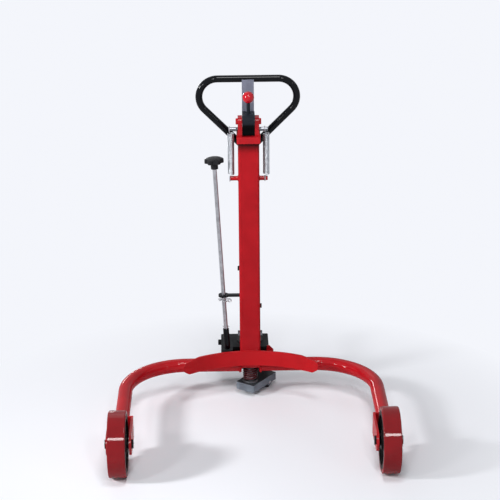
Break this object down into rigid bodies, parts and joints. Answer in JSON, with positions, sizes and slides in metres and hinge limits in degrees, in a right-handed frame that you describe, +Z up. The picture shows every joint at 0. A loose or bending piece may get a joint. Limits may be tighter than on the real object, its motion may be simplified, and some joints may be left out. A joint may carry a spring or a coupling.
{
  "type": "drum trolley",
  "caption": "Foot-pumped drum trolley with bent tube legs, front wheels, sprung swivel castor, curved saddle, lifting rim jaw on a mast and a looped push handle.",
  "frame": {"origin": "centre of the overall box on the floor", "axes": "+Z up, +Y towards the person pushing, +X to the right seen from the front"},
  "size_m": [0.799, 0.856, 0.959],
  "materials": {
    "red_paint": "gloss",
    "saddle_paint": "gloss",
    "black_paint": "gloss",
    "bar_steel": "satin",
    "zinc": "satin",
    "spring_zinc": "satin",
    "castor_spring_steel": "satin",
    "chrome": "polished",
    "jaw_steel": "satin",
    "cylinder_steel": "satin",
    "gland_black": "matte",
    "red_ball": "gloss",
    "black_knob": "matte",
    "pump_casting": "satin",
    "castor_grey": "satin",
    "bush_bronze": "satin",
    "red_tread": "satin",
    "black_core": "matte",
    "bearing_steel": "satin",
    "roller_plastic": "matte"
  },
  "bodies": {
    "frame": {"mast_tube": "red_paint", "foot_plate": "red_paint", "stem_bush": "bush_bronze", "leg_left": "red_paint", "leg_right": "red_paint", "gussets": "red_paint", "saddle": "saddle_paint", "yoke_left": "red_paint", "yoke_right": "red_paint", "handle": "black_paint", "guide_bar": "bar_steel", "guide_bar_bolts": "zinc", "spring_pegs": "red_paint", "lift_spring_left": "spring_zinc", "lift_spring_right": "spring_zinc", "lift_cylinder": "cylinder_steel", "cylinder_gland": "gland_black", "cylinder_pin": "zinc", "mast_side_screws": "black_paint", "rod_guide": "black_paint", "pump_mount_plate": "red_paint", "pump_block": "pump_casting", "pump_bolts": "zinc", "pump_gland": "gland_black", "oil_plug": "gland_black", "pedal_pin": "zinc", "plunger_spring": "spring_zinc", "wheel_axles": "black_paint", "axle_nuts": "black_paint", "axle_spacers": "black_paint", "castor_spring": "castor_spring_steel"},
    "grab_head": {"lift_collar": "red_paint", "ear_left": "red_paint", "ear_right": "red_paint", "cross_rod": "chrome", "lift_ram": "chrome", "jaw_pin": "red_paint"},
    "jaw_body": {"jaw": "jaw_steel", "lever_rod": "jaw_steel", "ball_knob": "red_ball"},
    "release": {"release_rod": "zinc", "star_knob": "black_knob", "valve_coupling": "black_paint", "coupling_pin": "zinc"},
    "pedal": {"pedal_arm": "black_paint", "pedal_tread": "gland_black"},
    "plunger": {"pump_plunger": "chrome"},
    "castor_slider": {"castor_stem": "cylinder_steel", "stem_stop_ring": "zinc", "kingpin_nut": "zinc"},
    "castor_swivel_body": {"castor_housing": "castor_grey", "castor_axle": "zinc"},
    "castor_roller_body": {"castor_roller": "roller_plastic"},
    "wheel_left": {"wheel_core_left": "black_core", "wheel_tread_left": "red_tread", "wheel_bearings_left": "bearing_steel"},
    "wheel_right": {"wheel_core_right": "black_core", "wheel_tread_right": "red_tread", "wheel_bearings_right": "bearing_steel"}
  },
  "joints": [
    {"name": "lift", "type": "slide", "parent": "frame", "child": "grab_head", "axis": [0, 0, 1], "range_m": [0, 0.12], "deforming": ["lift_spring_left", "lift_spring_right"]},
    {"name": "jaw_pivot", "type": "hinge", "parent": "grab_head", "child": "jaw_body", "pos_m": [0, 0.157, 0.842], "axis": [-1, 0, 0], "range_deg": [0, 28]},
    {"name": "release_turn", "type": "hinge", "parent": "frame", "child": "release", "pos_m": [-0.0675, 0.163, 0.146], "axis": [-0.0529, 0, 0.9986], "range_deg": [0, 180]},
    {"name": "pedal_press", "type": "hinge", "parent": "frame", "child": "pedal", "pos_m": [0, 0.221, 0.192], "axis": [-1, 0, 0], "range_deg": [0, 20], "stiffness_Nm_per_rad": 20, "springref_deg": -11.46},
    {"name": "plunger_stroke", "type": "slide", "parent": "frame", "child": "plunger", "axis": [0, 0, -1], "range_m": [0, 0.016], "deforming": ["plunger_spring"]},
    {"name": "castor_spring_travel", "type": "slide", "parent": "frame", "child": "castor_slider", "axis": [0, 0, 1], "range_m": [0, 0.008], "stiffness_N_per_m": 20000, "springref_m": -0.02, "deforming": ["castor_spring"]},
    {"name": "castor_swivel", "type": "hinge", "parent": "castor_slider", "child": "castor_swivel_body", "pos_m": [0, 0.173, 0.038], "axis": [0, 0, 1], "continuous": true},
    {"name": "castor_roll", "type": "hinge", "parent": "castor_swivel_body", "child": "castor_roller_body", "pos_m": [0.03327, 0.22051, 0.017], "axis": [0.8192, -0.5736, 0], "continuous": true},
    {"name": "wheel_left_spin", "type": "hinge", "parent": "frame", "child": "wheel_left", "pos_m": [-0.3645, -0.338, 0.09], "axis": [1, 0, 0], "continuous": true},
    {"name": "wheel_right_spin", "type": "hinge", "parent": "frame", "child": "wheel_right", "pos_m": [0.3645, -0.338, 0.09], "axis": [1, 0, 0], "continuous": true}
  ],
  "couplings": [
    {"joint": "plunger_stroke", "follows": "pedal_press", "m_per_rad": 0.0445}
  ]
}
